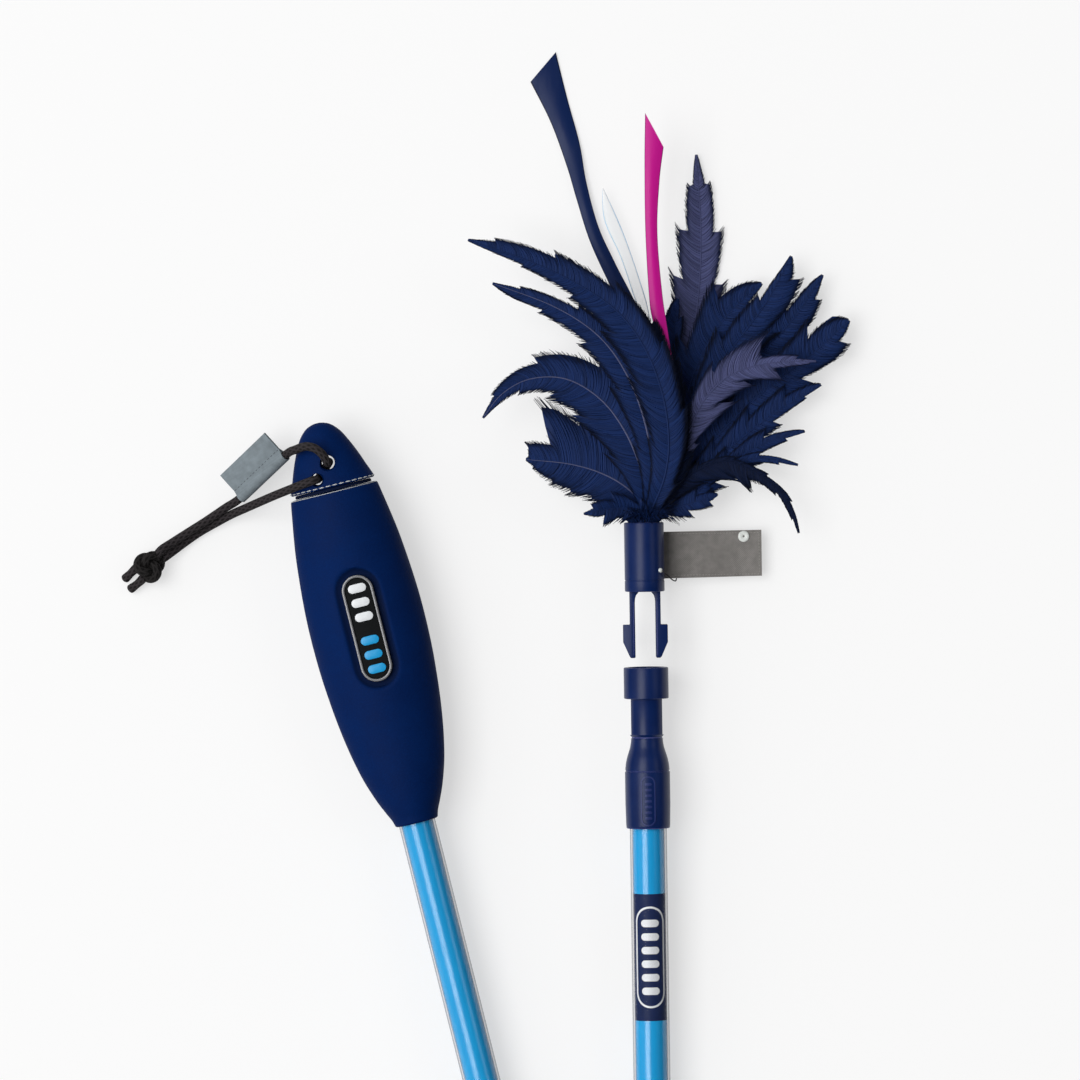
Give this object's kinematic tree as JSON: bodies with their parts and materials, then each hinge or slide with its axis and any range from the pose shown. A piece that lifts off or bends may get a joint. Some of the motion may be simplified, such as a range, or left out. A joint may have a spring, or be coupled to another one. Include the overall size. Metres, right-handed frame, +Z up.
{
  "type": "feather cat wand",
  "caption": "Cat teaser wand taken apart: padded handle with wrist cord on a clear tube, socketed tip section, and a clip-in head of feathers and film ribbons.",
  "frame": {"origin": "centre of the flat-laid wand's footprint, at the floor it lies on (free cord left out)", "axes": "+Z up from the floor; +Y along the layout, from the open tube ends towards the handle's end and the feathers; +X from the handle section towards the tip section"},
  "size_m": [0.2371, 0.4864, 0.0277],
  "materials": {
    "navy_foam": "fine matt foam",
    "dark_foam": "matt",
    "navy_plastic": "satin",
    "tube_band": "printed band",
    "clear_tube": "clear gloss",
    "blue_core": "translucent blue",
    "rim_grey": "satin grey",
    "plate_black": "satin black",
    "thread_grey": "twisted thread",
    "cord_grey": "braided",
    "label_grey": "woven strip",
    "tag_grey": "woven strip",
    "pale": "satin",
    "navy_feather": "soft barbs",
    "dark_feather": "soft barbs",
    "grey_feather": "soft barbs",
    "navy_film": "shiny film",
    "magenta_film": "metallised film",
    "clear_film": "clear iridescent film"
  },
  "bodies": {
    "handle_section": {"handle_grip": "navy_foam", "handle_cap": "navy_foam", "seam_ring": "dark_foam", "seam_stitching": "thread_grey", "badge_rim": "rim_grey", "badge_plate": "plate_black", "handle_tube": "clear_tube", "handle_core": "blue_core", "cord_loop": "cord_grey", "cord_label": "label_grey", "cord_knot": "cord_grey", "cord_tail_a": "cord_grey", "cord_tail_b": "cord_grey"},
    "joint_sleeve": {"joint_sleeve": "navy_plastic"},
    "tip_section": {"tip_tube": "clear_tube", "tip_core": "blue_core", "tube_band": "tube_band", "socket_housing": "navy_plastic"},
    "head": {"head_ferrule": "navy_plastic", "head_tag": "tag_grey", "tag_eyelet": "pale", "tag_pin": "pale", "tag_thread": "cord_grey", "feather_grey_back": "grey_feather", "ribbon_navy": "navy_film", "ribbon_clear": "clear_film", "feather_centre": "navy_feather", "feather_right_a": "navy_feather", "feather_right_c": "navy_feather", "feather_right_b": "navy_feather", "feather_right_d": "navy_feather", "feather_right_e": "navy_feather", "feather_right_f": "navy_feather", "feather_right_g": "navy_feather", "down_right": "navy_feather", "feather_strand": "dark_feather", "feather_grey_front": "grey_feather", "ribbon_magenta": "magenta_film", "feather_left_back": "dark_feather", "feather_left_d": "navy_feather", "feather_left_c": "navy_feather", "feather_left_b": "navy_feather", "feather_left_a": "navy_feather", "down_left": "navy_feather"},
    "snap_arm_left": {"snap_arm_left": "navy_plastic"},
    "snap_arm_right": {"snap_arm_right": "navy_plastic"}
  },
  "joints": [
    {"name": "joint_sleeve_slide", "type": "slide", "parent": "handle_section", "child": "joint_sleeve", "axis": [0.2425, -0.9699, -0.0217], "range_m": [0, 0.018]},
    {"name": "tip_section_swing", "type": "hinge", "parent": "handle_section", "child": "tip_section", "pos_m": [0.01849, -0.23961, 0.00704], "axis": [0.0028, -0.0217, 0.9998], "range_deg": [-166.83, 0]},
    {"name": "head_pull", "type": "slide", "parent": "tip_section", "child": "head", "axis": [-0.0151, 0.9997, 0.0217], "range_m": [-0.0243, 0.03], "deforming": ["snap_arm_left", "snap_arm_right"]},
    {"name": "snap_arm_left_flex", "type": "hinge", "parent": "head", "child": "snap_arm_left", "pos_m": [0.0201, 0.06852, 0.01371], "axis": [0.0028, -0.0217, 0.9998], "range_deg": [0, 8], "stiffness_Nm_per_rad": 0.05},
    {"name": "snap_arm_right_flex", "type": "hinge", "parent": "head", "child": "snap_arm_right", "pos_m": [0.0279, 0.06864, 0.01369], "axis": [-0.0028, 0.0217, -0.9998], "range_deg": [0, 8], "stiffness_Nm_per_rad": 0.05}
  ]
}
